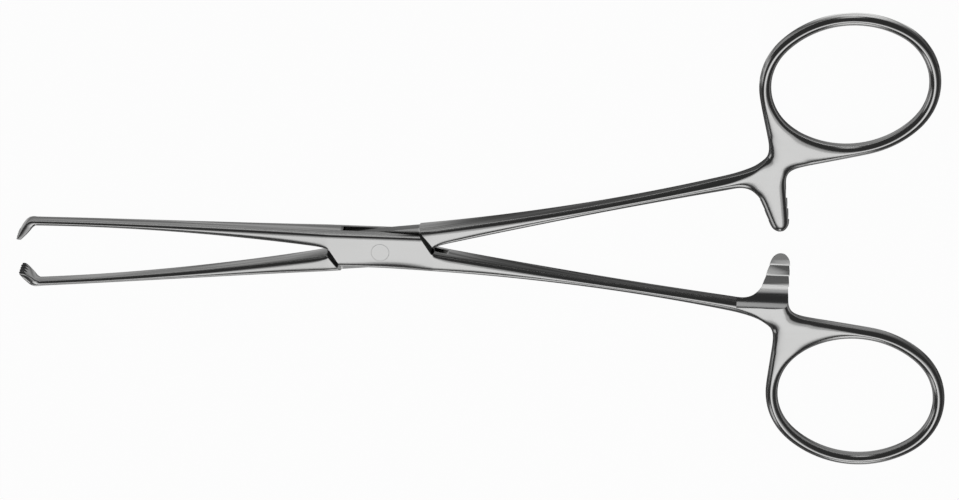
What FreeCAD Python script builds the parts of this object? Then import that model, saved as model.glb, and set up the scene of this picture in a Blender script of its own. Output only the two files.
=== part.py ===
import FreeCAD, Part
import math
import os

# Tissue forceps with a box lock, a ratchet and toothed jaws, in millimetres.
# The forceps lies flat: X runs along the centre line from the jaws (-X) to the finger rings (+X),
# the halves swing in Y, and Z is up. The origin is on the pivot axis, in the plane of the
# underside of the lock. Each half is drawn shut, with its middle plane at Z = 0, as the half
# that has the upper jaw and the lower ring, and is then turned to its place.

# Pose at rest
OPEN_AT_REST = 6.0            # angle between the halves, in degrees from shut

# Box lock
BOX_WIDTH = 6.4
BOX_DEPTH = 5.0
BOX_EDGE = 0.55               # rounding along the long edges
BOX_SWELL = 0.25              # the box grows by this towards the shanks
CROTCH = 8.95                 # pivot to the crotch between the arms, on the centre line
SHOULDER = 6.87               # pivot to a shoulder, measured along the edge of the box
SHOULDER_GAP = 0.06           # left between shoulder and cheek when shut
SLOT_DEPTH = 1.8              # thickness of the slot through the box
SLOT_TURN = 28.8              # direction of the slot, in degrees from the centre line
SLOT_REACH = 5.83             # pivot to an end wall of the slot
SLOT_END_GAP = 0.12           # left between waist and end wall when shut
WAIST_GAP = 0.04              # each side of the waist in the slot

# Pivot pin
PIN_RADIUS = 1.1
PIN_HEAD_RADIUS = 1.5
PIN_HEAD_DEPTH = 0.5
PIN_GAP = 0.03                # running clearance in the waist

# Jaw arms
JAW_REACH = 60.5              # pivot to the tooth edge
ARM_TIP_WIDTH = 1.05
ARM_TIP_DEPTH = 2.65
ARM_TAPER = 2.1               # the arm thins quickly at its root and slowly at its end
ARM_DROP = 0.25               # the back of the arm turns in by this near its end
ARM_EDGE = 0.42
ARM_STEPS = 6                 # sections along an arm, and round the bend of a jaw
BEND_STEPS = 4

# Bent, flared jaw tips
JAW_BEND = 52.0               # degrees inward
JAW_BEND_RADIUS = 1.6
JAW_HEEL = 0.6                # the bent end is thicker by this half way
JAW_EDGE_WIDTH = 5.0          # across the teeth
JAW_EDGE_THICKNESS = 0.75
JAW_EDGE_ROUND = 0.16
TOOTH_PITCH = 1.02
TOOTH_HEIGHT = 0.55
TOOTH_GAP = 0.08

# Shanks
SHANK_END = 58.0              # pivot to the start of the neck
SHANK_SLOPE = 5.6             # degrees away from the centre line at the box
SHANK_END_SLOPE = 8.2
SHANK_SLIM_WIDTH = 1.85
SHANK_SLIM_AT = 40.0
SHANK_END_WIDTH = 2.5
SHANK_TAPER = 1.9
SHANK_EDGE = 0.55

# Neck and finger ring
NECK_DEPTH = 2.85
NECK_EDGE = 1.0
RING_RUN = 22.0               # end of the shank to the middle of the ring
RING_DROP = 16.03
RING_LENGTH = 30.2
RING_BREADTH = 25.0
RING_END_DRAW = 1.3           # the arcs at the ends of the oval ring have half its breadth less this as radius
RING_WALL = 2.05
RING_TURN = 4.0               # the far end of the ring leans out by this
RING_HOLE_EDGE = 0.45         # chamfer round the hole
NECK_CORNER_RUN = 8.2         # end of the shank to where its back meets the side of the ring
NECK_CORNER_DROP = 3.83
NECK_CORNER_ROUND = 2.8
WEB_CORNER_DROP = 1.73        # below the end of the shank, where the bar meets the top of the ring
WEB_CORNER_ROUND = 1.9

# Ratchet
BAR_RUN = 10.2                # end of the shank to the far side of the bar
BAR_LEAN = 0.2                # the bar leans away from the box by this at its tip
BAR_TIP_WIDTH = 3.0
BAR_ROOT_WIDTH = 5.2
BAR_PASS = 1.45               # how far the tip passes the centre line when shut
BAR_ROOT_ROUND = 3.4
BAR_TIP_ROUND = 1.15
RATCHET_TEETH = 3
RATCHET_PITCH = 1.9
RATCHET_HEIGHT = 0.55
RATCHET_UNDERCUT = 0.12       # run of the locking face
RATCHET_LAND = 1.0            # from the tip of the bar to the first crest
RATCHET_GAP = 0.1             # between the crests of the two bars
CUTTER_RADIUS = 3.6           # of the cutter that halves the bar

# Cutting solids run past what they cut by this
MARGIN = 4.0
# Places nearer to each other than this are one place
TOUCH = 0.01

BAR_FAR_X = SHANK_END + BAR_RUN
BOX_HALF = BOX_WIDTH / 2.0
MID_Z = BOX_DEPTH / 2.0
LOCK_SPAN = 4.0 * CROTCH       # longer than the lock, across it in any direction
UP = FreeCAD.Vector(0, 0, 1)
ORIGIN = FreeCAD.Vector(0, 0, 0)


def point(x, y, z=0.0):
    return FreeCAD.Vector(x, y, z)


def polygon(points):
    return Part.Face(Part.makePolygon(points + points[:1]))


def prism(points, vector):
    return polygon(points).extrude(vector)


def rounded_section(centre, across, width, depth, corner):
    """A rounded rectangle, with its width along the unit vector across and its depth along Z."""
    flat_w = width / 2.0 - corner
    flat_d = depth / 2.0 - corner
    edges = []
    for side, face in ((1, 1), (-1, 1), (-1, -1), (1, -1)):
        heart = centre + across * (side * flat_w) + UP * (face * flat_d)
        wide = heart + across * (side * corner)
        tall = heart + UP * (face * corner)
        mid = heart + (across * side + UP * face) * (corner * math.sqrt(0.5))
        start, end = (wide, tall) if side * face > 0 else (tall, wide)
        if edges:
            edges.append(Part.LineSegment(last, start).toShape())
        else:
            first = start
        edges.append(Part.Arc(start, mid, end).toShape())
        last = end
    edges.append(Part.LineSegment(last, first).toShape())
    return Part.Wire(edges)


def eased(start, end, share, power):
    """From start to end as share goes from 0 to 1, quickly at first."""
    return end + (start - end) * (1.0 - share) ** power


def jaw_arm():
    """The upper jaw arm with its bent, flared tip."""
    bend = math.radians(JAW_BEND)
    end_y = BOX_HALF - ARM_DROP - ARM_TIP_WIDTH / 2.0
    corner_x = -JAW_REACH + end_y / math.tan(bend)
    lead = JAW_BEND_RADIUS * math.tan(bend / 2.0)
    start_x = -CROTCH
    end_x = corner_x + lead
    wires = []
    for i in range(ARM_STEPS + 1):
        share = i / float(ARM_STEPS)
        width = eased(BOX_HALF - SHOULDER_GAP / 2.0, ARM_TIP_WIDTH, share, ARM_TAPER)
        depth = eased(BOX_DEPTH, ARM_TIP_DEPTH, share, ARM_TAPER)
        corner = BOX_EDGE + (ARM_EDGE - BOX_EDGE) * share
        back = BOX_HALF - ARM_DROP * share ** 4
        x = start_x + (end_x - start_x) * share
        wires.append(rounded_section(point(x, back - width / 2.0), point(0, 1), width, depth, corner))
    leg = end_y / math.sin(bend) - lead
    run = JAW_BEND_RADIUS * bend
    pivot = point(end_x, end_y - JAW_BEND_RADIUS)
    stops = []
    for i in range(1, BEND_STEPS + 1):
        angle = bend * i / BEND_STEPS
        stops.append((run * i / BEND_STEPS, angle, pivot + outward(angle) * JAW_BEND_RADIUS))
    heading = point(-math.cos(bend), -math.sin(bend))
    for share in (0.5, 1.15):
        stops.append((run + leg * share, bend, stops[BEND_STEPS - 1][2] + heading * (leg * share)))
    for way, angle, centre in stops:
        share = min(way / (run + leg), 1.0)
        heel = JAW_HEEL * 4.0 * share * (1.0 - share)
        width = ARM_TIP_WIDTH + (JAW_EDGE_THICKNESS - ARM_TIP_WIDTH) * share + heel
        depth = ARM_TIP_DEPTH + (JAW_EDGE_WIDTH - ARM_TIP_DEPTH) * share ** 1.5
        corner = ARM_EDGE + (JAW_EDGE_ROUND - ARM_EDGE) * share
        wires.append(rounded_section(centre, outward(angle), width, depth, corner))
    return Part.makeLoft(wires, True, True)


def outward(angle):
    """Away from the centre line, square to the upper jaw where it has turned inward by angle."""
    return point(-math.sin(angle), math.cos(angle))


def tooth_comb(offset):
    """What is cut off the end of the upper jaw tip, with V teeth offset along Z by part of a pitch."""
    crest = -(TOOTH_HEIGHT - TOOTH_GAP) / 2.0
    valley = crest + TOOTH_HEIGHT
    x = -JAW_REACH - MARGIN
    half_steps = 2 * int(JAW_EDGE_WIDTH / TOOTH_PITCH)
    outline = []
    for i in range(-half_steps, half_steps + 1):
        y = crest if i % 2 == 0 else valley
        outline.append(point(x, y, (i / 2.0 + offset) * TOOTH_PITCH))
    outline.append(point(x, -MARGIN, outline[-1].z))
    outline.append(point(x, -MARGIN, outline[0].z))
    return prism(outline, point(2.0 * MARGIN, 0))


def shank_place(x):
    """Centre and outward slope of the lower shank at x, on a parabola."""
    slope0 = math.tan(math.radians(SHANK_SLOPE))
    slope1 = math.tan(math.radians(SHANK_END_SLOPE))
    way = x - CROTCH
    bend = (slope1 - slope0) / (SHANK_END - CROTCH)
    y = -(BOX_HALF + BOX_SWELL) / 2.0 - slope0 * way - bend * way * way / 2.0
    return point(x, y), math.atan(slope0 + bend * way)


def shank_width(x):
    if x <= SHANK_SLIM_AT:
        share = (x - CROTCH) / (SHANK_SLIM_AT - CROTCH)
        return eased(BOX_HALF + BOX_SWELL - SHOULDER_GAP / 2.0, SHANK_SLIM_WIDTH, share, SHANK_TAPER)
    share = (x - SHANK_SLIM_AT) / (SHANK_END - SHANK_SLIM_AT)
    return SHANK_SLIM_WIDTH + (SHANK_END_WIDTH - SHANK_SLIM_WIDTH) * share ** 2


def shank():
    """The lower shank, from the box to the neck."""
    wires = []
    for i in range(ARM_STEPS + 1):
        share = i / float(ARM_STEPS)
        x = CROTCH + (SHANK_END - CROTCH) * share
        centre, slope = shank_place(x)
        depth = eased(BOX_DEPTH, NECK_DEPTH, share, SHANK_TAPER)
        corner = SHANK_EDGE + (NECK_EDGE - SHANK_EDGE) * share ** 3
        if i == 0:
            slope = 0.0
        across = point(math.sin(slope), math.cos(slope))
        wires.append(rounded_section(centre, across, shank_width(x), depth, corner))
    return Part.makeLoft(wires, True, True)


class Oval:
    """An oval of four arcs, with its long axis turned from X by turn."""

    def __init__(self, heart, turn, length, breadth, end_radius):
        a = length / 2.0
        b = breadth / 2.0
        side_radius = ((a - end_radius) ** 2 + b * b - end_radius ** 2) / (2.0 * (b - end_radius))
        along = point(math.cos(turn), math.sin(turn))
        across = point(-math.sin(turn), math.cos(turn))
        self.end_radius = end_radius
        self.side_radius = side_radius
        self.near = heart - along * (a - end_radius)
        self.far = heart + along * (a - end_radius)
        self.low = heart + across * (side_radius - b)
        self.top = heart - across * (side_radius - b)

    def join(self, side, end, inset=0.0):
        """Where the arc about side runs into the arc about end."""
        return side + (end - side).normalize() * (self.side_radius - inset)

    def hole(self, wall):
        """The wire of the inner edge, a wall's width inside."""
        near_low = self.join(self.low, self.near, wall)
        far_low = self.join(self.low, self.far, wall)
        far_top = self.join(self.top, self.far, wall)
        near_top = self.join(self.top, self.near, wall)
        edges = [
            arc_about(self.near, near_top, near_low),
            arc_about(self.low, near_low, far_low),
            arc_about(self.far, far_low, far_top),
            arc_about(self.top, far_top, near_top),
        ]
        return Part.Wire(edges)


def arc_about(heart, start, end):
    """The shorter arc about heart from start to end."""
    radius = (start - heart).Length
    mid = heart + ((start - heart) + (end - heart)).normalize() * radius
    return Part.Arc(start, mid, end).toShape()


def tangent_point(heart, radius, outside, side):
    """Where a line from the point outside touches the circle about heart."""
    away = outside - heart
    angle = math.atan2(away.y, away.x) + side * math.acos(radius / away.Length)
    return heart + point(math.cos(angle), math.sin(angle)) * radius


def fillet_uprights(solid, corners):
    """Round the upright edges that stand at the given corners."""
    for corner, radius in corners:
        edges = [e for e in solid.Edges if is_upright_at(e, corner)]
        solid = solid.makeFillet(radius, edges)
    return solid


def is_upright_at(edge, corner):
    ends = [v.Point for v in edge.Vertexes]
    if len(ends) != 2 or abs(ends[0].z - ends[1].z) < TOUCH:
        return False
    return all(math.hypot(p.x - corner.x, p.y - corner.y) < TOUCH for p in ends)


def rim_edges(solid, keep):
    """Edges that lie wholly in the two flat faces and pass the test keep."""
    chosen = []
    for edge in solid.Edges:
        flat = abs(abs(edge.CenterOfMass.z) - NECK_DEPTH / 2.0) < TOUCH
        if flat and keep(edge):
            chosen.append(edge)
    return chosen


def neck_and_ring():
    """The end of the lower shank with the whole ratchet bar and the finger ring."""
    start, slope = shank_place(SHANK_END)
    across = point(math.sin(slope), math.cos(slope))
    low = start - across * (SHANK_END_WIDTH / 2.0)
    high = start + across * (SHANK_END_WIDTH / 2.0)
    heart = start + point(RING_RUN, -RING_DROP)
    end_radius = RING_BREADTH / 2.0 - RING_END_DRAW
    ring = Oval(heart, -math.radians(RING_TURN), RING_LENGTH, RING_BREADTH, end_radius)
    neck_corner = start + point(NECK_CORNER_RUN, -NECK_CORNER_DROP)
    web_corner = start + point(BAR_RUN, -WEB_CORNER_DROP)
    near_point = tangent_point(ring.near, ring.end_radius, neck_corner, 1)
    top_point = tangent_point(ring.top, ring.side_radius, web_corner, -1)
    near_low = ring.join(ring.low, ring.near)
    far_low = ring.join(ring.low, ring.far)
    far_top = ring.join(ring.top, ring.far)
    # The back of the shank runs on as an arc that starts along the shank.
    chord = neck_corner - low
    chord_slope = math.atan2(-chord.y, chord.x)
    swing = chord_slope - slope
    arc_radius = chord.Length / (2.0 * math.sin(swing))
    mid_slope = slope + swing / 2.0
    mid_run = 2.0 * arc_radius * math.sin(swing / 2.0)
    mid = low + point(math.cos(mid_slope), -math.sin(mid_slope)) * mid_run
    # The front of the shank runs straight on to the near side of the bar.
    root_near = BAR_FAR_X - BAR_ROOT_WIDTH
    bar_root = high + point(math.cos(slope), -math.sin(slope)) * ((root_near - high.x) / math.cos(slope))
    tip_far = point(BAR_FAR_X + BAR_LEAN, BAR_PASS)
    tip_near = tip_far - point(BAR_TIP_WIDTH, 0)
    edges = [
        Part.Arc(low, mid, neck_corner).toShape(),
        Part.LineSegment(neck_corner, near_point).toShape(),
        arc_about(ring.near, near_point, near_low),
        arc_about(ring.low, near_low, far_low),
        arc_about(ring.far, far_low, far_top),
        arc_about(ring.top, far_top, top_point),
        Part.LineSegment(top_point, web_corner).toShape(),
        Part.LineSegment(web_corner, tip_far).toShape(),
        Part.LineSegment(tip_far, tip_near).toShape(),
        Part.LineSegment(tip_near, bar_root).toShape(),
        Part.LineSegment(bar_root, high).toShape(),
        Part.LineSegment(high, low).toShape(),
    ]
    face = Part.Face(Part.Wire(edges))
    solid = face.extrude(UP * NECK_DEPTH)
    solid.translate(UP * (-NECK_DEPTH / 2.0))
    corners = [
        (neck_corner, NECK_CORNER_ROUND),
        (web_corner, WEB_CORNER_ROUND),
        (bar_root, BAR_ROOT_ROUND),
        (tip_near, BAR_TIP_ROUND),
        (tip_far, BAR_TIP_ROUND),
    ]
    solid = fillet_uprights(solid, corners)
    end_middle = (low + high) * 0.5

    def away_from_end(edge):
        heart_of_edge = edge.CenterOfMass
        return math.hypot(heart_of_edge.x - end_middle.x, heart_of_edge.y - end_middle.y) > TOUCH

    solid = solid.makeFillet(NECK_EDGE, rim_edges(solid, away_from_end))
    hole = Part.Face(ring.hole(RING_WALL)).extrude(UP * (NECK_DEPTH + 2.0 * MARGIN))
    hole.translate(UP * (-NECK_DEPTH / 2.0 - MARGIN))
    solid = solid.cut(hole)

    def round_the_hole(edge):
        return (edge.CenterOfMass - heart).Length < RING_LENGTH / 2.0 - RING_WALL

    return solid.makeChamfer(RING_HOLE_EDGE, rim_edges(solid, round_the_hole))


def ratchet_cut():
    """What is milled off the front of the lower bar: the lap, the teeth and the run of the cutter."""
    x0 = BAR_FAR_X - BAR_ROOT_WIDTH - BAR_ROOT_ROUND
    x1 = BAR_FAR_X + WEB_CORNER_ROUND
    top = NECK_DEPTH
    crest_z = -RATCHET_GAP / 2.0
    valley_z = crest_z - RATCHET_HEIGHT
    crest_y = BAR_PASS - RATCHET_LAND
    outline = [point(x0, BAR_PASS + MARGIN, top), point(x0, BAR_PASS + MARGIN, valley_z)]
    outline.append(point(x0, crest_y + RATCHET_PITCH, valley_z))
    for i in range(RATCHET_TEETH):
        y = crest_y - i * RATCHET_PITCH
        outline.append(point(x0, y, crest_z))
        outline.append(point(x0, y - RATCHET_UNDERCUT, valley_z))
    floor_y = crest_y - RATCHET_TEETH * RATCHET_PITCH
    outline.append(point(x0, floor_y, crest_z))
    outline.append(point(x0, floor_y, top))
    teeth = prism(outline, point(x1 - x0, 0))
    run = Part.makeCylinder(CUTTER_RADIUS, x1 - x0, point(x0, floor_y, crest_z + CUTTER_RADIUS), point(1, 0))
    return teeth.fuse(run)


def arms(tooth_offset):
    """Everything of one half but the lock, shut, with the upper jaw and the lower ring."""
    jaw = jaw_arm().cut(tooth_comb(tooth_offset))
    handle = neck_and_ring().cut(ratchet_cut())
    return jaw, shank(), handle


def lock_block():
    """The box of the lower-shank half before it is slotted, with its long edges rounded."""
    swell = BOX_HALF + BOX_SWELL
    outline = [
        point(-CROTCH, BOX_HALF, -MID_Z),
        point(-CROTCH, -BOX_HALF, -MID_Z),
        point(0, -BOX_HALF, -MID_Z),
        point(CROTCH, -swell, -MID_Z),
        point(CROTCH, BOX_HALF, -MID_Z),
    ]
    solid = prism(outline, UP * BOX_DEPTH)
    edges = []
    for edge in solid.Edges:
        heart = edge.CenterOfMass
        if abs(heart.y) > BOX_HALF - TOUCH and abs(abs(heart.z) - MID_Z) < TOUCH:
            edges.append(edge)
    return solid.makeFillet(BOX_EDGE, edges)


def turned_slab(reach, turn, length, depth):
    """A slab through the pivot whose long sides lie at reach from it, along the direction turn."""
    slab = Part.makeBox(length, 2.0 * reach, depth, point(-length / 2.0, -reach, -depth / 2.0))
    slab.rotate(ORIGIN, UP, turn)
    return slab


def shoulder_slab(gap):
    """Everything between the two shoulders, less the gap at each."""
    slope = math.atan2(BOX_HALF, CROTCH - SHOULDER)
    reach = CROTCH * math.sin(slope) - gap
    return turned_slab(reach, -math.degrees(slope), LOCK_SPAN, 2.0 * BOX_DEPTH)


def bore(radius):
    return Part.makeCylinder(radius, 2.0 * BOX_DEPTH, point(0, 0, -BOX_DEPTH))


def female_half():
    jaw, stem, handle = arms(0.0)
    block = lock_block()
    cheeks = block.common(shoulder_slab(SHOULDER_GAP))
    roots = block.cut(shoulder_slab(SHOULDER_GAP))
    own = []
    for piece in roots.Solids:
        heart = piece.CenterOfMass
        if heart.x * heart.y < 0:
            own.append(piece)
    half = cheeks.multiFuse([jaw, stem, handle] + own)
    slot = turned_slab(SLOT_REACH, SLOT_TURN, LOCK_SPAN, SLOT_DEPTH)
    half = half.cut(slot)
    half = half.cut(bore(PIN_RADIUS))
    return half.cut(pin_heads())


def pin_heads():
    """The countersinks in the two cheeks, which the peened ends fill."""
    top = Part.makeCone(PIN_RADIUS, PIN_HEAD_RADIUS, PIN_HEAD_DEPTH, point(0, 0, MID_Z - PIN_HEAD_DEPTH))
    bottom = Part.makeCone(PIN_HEAD_RADIUS, PIN_RADIUS, PIN_HEAD_DEPTH, point(0, 0, -MID_Z))
    return top.fuse(bottom)


def male_half():
    pieces = []
    for piece in arms(0.5):
        piece.rotate(ORIGIN, point(1, 0), 180.0)
        pieces.append(piece)
    block = lock_block()
    block.rotate(ORIGIN, point(1, 0), 180.0)
    block = block.common(turned_slab(SLOT_REACH - SLOT_END_GAP, SLOT_TURN, LOCK_SPAN, 2.0 * BOX_DEPTH))
    half = block.multiFuse(pieces)
    thinned = shoulder_slab(0.0)
    waist = turned_slab(LOCK_SPAN, 0.0, 2.0 * LOCK_SPAN, SLOT_DEPTH - 2.0 * WAIST_GAP)
    half = half.cut(thinned.cut(waist))
    return half.cut(bore(PIN_RADIUS + PIN_GAP))


def pivot_pin():
    shaft = Part.makeCylinder(PIN_RADIUS, BOX_DEPTH, point(0, 0, -MID_Z))
    return shaft.fuse(pin_heads())


def placed(solid, turn):
    """Turned about the pivot to its place at rest, and lifted onto the resting plane."""
    solid = solid.removeSplitter()
    solid.rotate(ORIGIN, UP, turn)
    solid.translate(UP * MID_Z)
    return solid


def main():
    os.makedirs("parts", exist_ok=True)
    pieces = {
        "female_half": placed(female_half(), -OPEN_AT_REST / 2.0),
        "male_half": placed(male_half(), OPEN_AT_REST / 2.0),
        "pivot_pin": placed(pivot_pin(), 0.0),
    }
    for name, shape in pieces.items():
        shape.exportStep("parts/" + name + ".step")
        solids = len(shape.Solids)
        print(name, "solids", solids, "valid", shape.isValid(), "volume", round(shape.Volume, 2))


if __name__ == "__main__":
    main()
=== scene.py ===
import bisect
import math

import bpy
import bmesh
from mathutils import Matrix, Vector


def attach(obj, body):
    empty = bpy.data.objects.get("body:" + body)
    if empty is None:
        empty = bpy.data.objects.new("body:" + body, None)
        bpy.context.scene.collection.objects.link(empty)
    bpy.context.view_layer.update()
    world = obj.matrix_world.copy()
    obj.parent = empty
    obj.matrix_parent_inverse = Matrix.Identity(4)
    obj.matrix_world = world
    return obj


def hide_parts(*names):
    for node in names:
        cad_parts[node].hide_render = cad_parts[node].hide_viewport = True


bl_info = {
    "name": "Tissue forceps",
    "version": (1, 0, 0),
    "blender": (4, 5, 0),
    "location": "View3D > Sidebar > Forceps",
    "description": "Polished steel finishes and a pale studio for a ratcheted tissue forceps",
    "category": "Object",
}

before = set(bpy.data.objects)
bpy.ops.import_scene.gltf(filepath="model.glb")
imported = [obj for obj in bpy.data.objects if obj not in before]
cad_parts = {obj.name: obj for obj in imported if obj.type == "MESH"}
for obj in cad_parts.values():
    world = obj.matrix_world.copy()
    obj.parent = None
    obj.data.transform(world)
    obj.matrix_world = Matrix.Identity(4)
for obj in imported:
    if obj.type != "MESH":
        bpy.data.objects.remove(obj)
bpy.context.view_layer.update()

# Width of the photo in pixels, and white with its alpha
PHOTO_WIDTH = 959
WHITE = (1.0, 1.0, 1.0, 1.0)

# Where the brightness of the mirrored floor changes, along X in metres, and the last two along Y
LOCK_FADE = (0.004, 0.022)
RING_FADE_IN = (0.068, 0.079)
RING_FADE_OUT = (0.083, 0.094)
RING_LEFT_FADE = (0.064, 0.069)
RING_TOP_FADE = (0.030, 0.038)
RING_CORNER_FADE = (0.024, 0.030)

# In metres: half the width of the floor, how far the lamp and the sail are shifted along X from the target,
# and how far the back, front and left cards stand from the pivot
FLOOR_HALF = 3.0
LAMP_LEFT = 0.05
SAIL_RIGHT = 0.3
CARD_REACH = 1.6

# Where the painted shade on the inner faces of the lock and on its waist ends, from the pivot and the middle
# plane, in metres
INNER_FADE_X = (0.0088, 0.0091)
INNER_FADE_Y = (0.0027, 0.0029)
INNER_FADE_Z = (0.0019, 0.0021)
WAIST_FADE_X = (0.0064, 0.0067)
WAIST_FADE_Z = (0.00095, 0.0011)
INNER_PAINTED_SHADE = 0.9
WAIST_PAINTED_SHADE = 0.55

# Sizes of the forgings in millimetres, shut, with the middle plane at Z = 0. Most are those of the solids.
# The lock's gaps, the rounding of some edges, the crowns and the ratchet's first crest differ from them.
MM = 0.001
BOX_HALF = 3.2
BOX_DEPTH = 5.0
BOX_EDGE = 0.6
BOX_SWELL = 0.25
CROTCH = 8.95
SHOULDER = 6.87
SHOULDER_GAP = 0.12
SLOT_DEPTH = 1.8
SLOT_TURN = math.radians(28.8)
SLOT_REACH = 5.83
SLOT_END_GAP = 0.12
WAIST_GAP = 0.04
CHEEK_GAP = 0.4
SHOULDER_GROOVE = 0.08
PIN_RADIUS = 1.1
PIN_HEAD_RADIUS = 1.5
PIN_HEAD_DEPTH = 0.5
PIN_GAP = 0.03
JAW_REACH = 60.5
ARM_TIP_WIDTH = 1.05
ARM_TIP_DEPTH = 2.65
ARM_TAPER = 2.1
ARM_DROP = 0.25
ARM_EDGE = 0.28
JAW_BEND = math.radians(52.0)
JAW_BEND_RADIUS = 1.6
JAW_HEEL = 0.6
JAW_EDGE_WIDTH = 5.0
JAW_EDGE_THICKNESS = 0.75
JAW_EDGE_ROUND = 0.16
TOOTH_PITCH = 1.02
TOOTH_HEIGHT = 0.55
TOOTH_GAP = 0.08
TIP_PAST = 0.345
SHANK_END = 58.0
SHANK_SLOPE = 5.6
SHANK_END_SLOPE = 8.2
SHANK_SLIM_WIDTH = 1.85
SHANK_SLIM_AT = 40.0
SHANK_END_WIDTH = 2.5
SHANK_TAPER = 1.9
SHANK_EDGE = 0.6
NECK_DEPTH = 2.85
NECK_EDGE = 0.85
RING_HEART = Vector((80.0, -23.69))
RING_LENGTH = 30.2
RING_BREADTH = 25.0
RING_END_RADIUS = 11.2
RING_WALL = 2.05
RING_TURN = math.radians(4.0)
NECK_CORNER = Vector((66.2, -11.5))
NECK_CORNER_ROUND = 2.8
WEB_CORNER_Y = -9.4
WEB_CORNER_ROUND = 1.9
BAR_FAR_X = 68.2
BAR_LEAN = 0.2
BAR_TIP_WIDTH = 3.0
BAR_ROOT_WIDTH = 5.2
BAR_PASS = 1.45
BAR_ROOT_ROUND = 3.4
BAR_TIP_ROUND = 1.15
RATCHET_TEETH = 3
RATCHET_PITCH = 1.9
RATCHET_HEIGHT = 0.55
RATCHET_UNDERCUT = 0.12
RATCHET_LAND = 2.0
RATCHET_GAP = 0.1
CREST_FLAT = 0.2
CUTTER_RADIUS = 4.0
RUN_OUT_STEPS = 30
CROWN = 0.16
BOX_CROWN = 0.25
RING_CROWN = 0.2
RING_EDGE = 0.65
OPEN_AT_REST = math.radians(6.0)
MID_Z = BOX_DEPTH / 2.0

# How the cages are divided and shaped, and the lengths that the cutters and the merging need
WIDEST_EDGE = 0.34
DEEPEST_EDGE = 0.8
CROWN_RISE = 6.0
CROWN_SKEW = 1.8
PULL_RANGE = 8.0
ARM_STATIONS = 16
ARM_SPACING = 1.25
BEND_SHARES = (0.08, 0.25, 0.42, 0.58, 0.75, 0.92, 1.0, 1.5, 2.0, 2.4)
SHANK_SPACING = 1.2
SHANK_STATIONS = 18
BOX_SHARES = (0.0, 0.015, 0.125, 0.25, 0.375, 0.5, 0.625, 0.75, 0.875, 0.985, 1.0)
RING_STATIONS = 46
BAR_STATIONS = 7
STEM_STATIONS = 4
NECK_STATIONS = 2
BACK_STEPS = 28
BACK_SHARE = 0.72
FORK_BULGE = 0.55
NEAR_FORK = Vector((65.75, -15.6))
TOP_FORK = Vector((72.6, -9.9))
HOLE_FORK = math.radians(137.0)
SHARP_ANGLE = math.radians(35.0)
SMOOTH_LEVELS = 2
FAR = 20.0
ENDLESS = 1e9
COMB_REACH = 4.0
PATH_STEP = 0.1
CAGE_MERGE = 0.005
BORE_MERGE = 0.001


def eased(start, end, share, power):
    """From start to end as share goes from 0 to 1, quickly at first."""
    return end + (start - end) * (1.0 - share) ** power


def blend_of(start, end, share):
    return start + (end - start) * share


def unit(angle):
    return Vector((math.cos(angle), math.sin(angle)))


def section(a, b, half_depth, edge, crown, shift=None):
    """Five points across a strip from rim a to rim b. The rims lie lower by the rounding of the edge."""
    width = (b - a).length
    inset = min(edge / width, WIDEST_EDGE)
    middle = (a + b) / 2.0
    if shift is not None:
        middle = middle + shift
    near = blend_of(a, middle, 2.0 * inset)
    far = blend_of(b, middle, 2.0 * inset)
    low = half_depth - min(edge, half_depth * DEEPEST_EDGE)
    high = half_depth - crown
    return [(*a, low), (*near, high), (*middle, half_depth), (*far, high), (*b, low)]


def sheet(bm, rows):
    """A grid of quads whose vertices stand at the points of rows."""
    made = bmesh.ops.create_grid(bm, x_segments=len(rows[0]) - 1, y_segments=len(rows) - 1, size=1.0)
    for vertex, place in zip(made["verts"], [place for row in rows for place in row]):
        vertex.co = place


def arm_sections():
    """The upper jaw arm with its bent, flared tip, from the box to the teeth."""
    end_y = BOX_HALF - ARM_DROP - ARM_TIP_WIDTH / 2.0
    corner_x = -JAW_REACH + end_y / math.tan(JAW_BEND)
    lead = JAW_BEND_RADIUS * math.tan(JAW_BEND / 2.0)
    end_x = corner_x + lead
    rows = []
    for i in range(ARM_STATIONS + 1):
        share = (i / ARM_STATIONS) ** ARM_SPACING
        width = eased(BOX_HALF - SHOULDER_GAP / 2.0, ARM_TIP_WIDTH, share, ARM_TAPER)
        half_depth = eased(BOX_DEPTH, ARM_TIP_DEPTH, share, ARM_TAPER) / 2.0
        edge = blend_of(BOX_EDGE, ARM_EDGE, share)
        x = blend_of(-CROTCH, end_x, share)
        back = BOX_HALF - ARM_DROP * share ** 4
        crown = CROWN * min(share * CROWN_RISE, 1.0)
        rows.append(section(Vector((x, back)), Vector((x, back - width)), half_depth, edge, crown))
    leg = end_y / math.sin(JAW_BEND) - lead
    run = JAW_BEND_RADIUS * JAW_BEND
    pivot = Vector((end_x, end_y - JAW_BEND_RADIUS))
    for share in BEND_SHARES:
        angle = JAW_BEND * min(share, 1.0)
        outward = Vector((-math.sin(angle), math.cos(angle)))
        beyond = max(share - 1.0, 0.0) * leg
        centre = pivot + outward * JAW_BEND_RADIUS - unit(angle) * beyond
        way = min((run * min(share, 1.0) + beyond) / (run + leg), 1.0)
        width = blend_of(ARM_TIP_WIDTH, JAW_EDGE_THICKNESS, way) + JAW_HEEL * 4.0 * way * (1.0 - way)
        half_depth = (ARM_TIP_DEPTH + (JAW_EDGE_WIDTH - ARM_TIP_DEPTH) * way ** 1.5) / 2.0
        edge = blend_of(ARM_EDGE, JAW_EDGE_ROUND, way)
        reach = outward * (width / 2.0)
        rows.append(section(centre + reach, centre - reach, half_depth, edge, CROWN * (1.0 - way)))
    return rows


def shank_place(x):
    """Centre and outward slope of the lower shank at x, on a parabola."""
    slope0 = math.tan(math.radians(SHANK_SLOPE))
    slope1 = math.tan(math.radians(SHANK_END_SLOPE))
    way = x - CROTCH
    bend = (slope1 - slope0) / (SHANK_END - CROTCH)
    y = -(BOX_HALF + BOX_SWELL + SHOULDER_GAP / 2.0) / 2.0 - slope0 * way - bend * way * way / 2.0
    return Vector((x, y)), math.atan(slope0 + bend * way)


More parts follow.
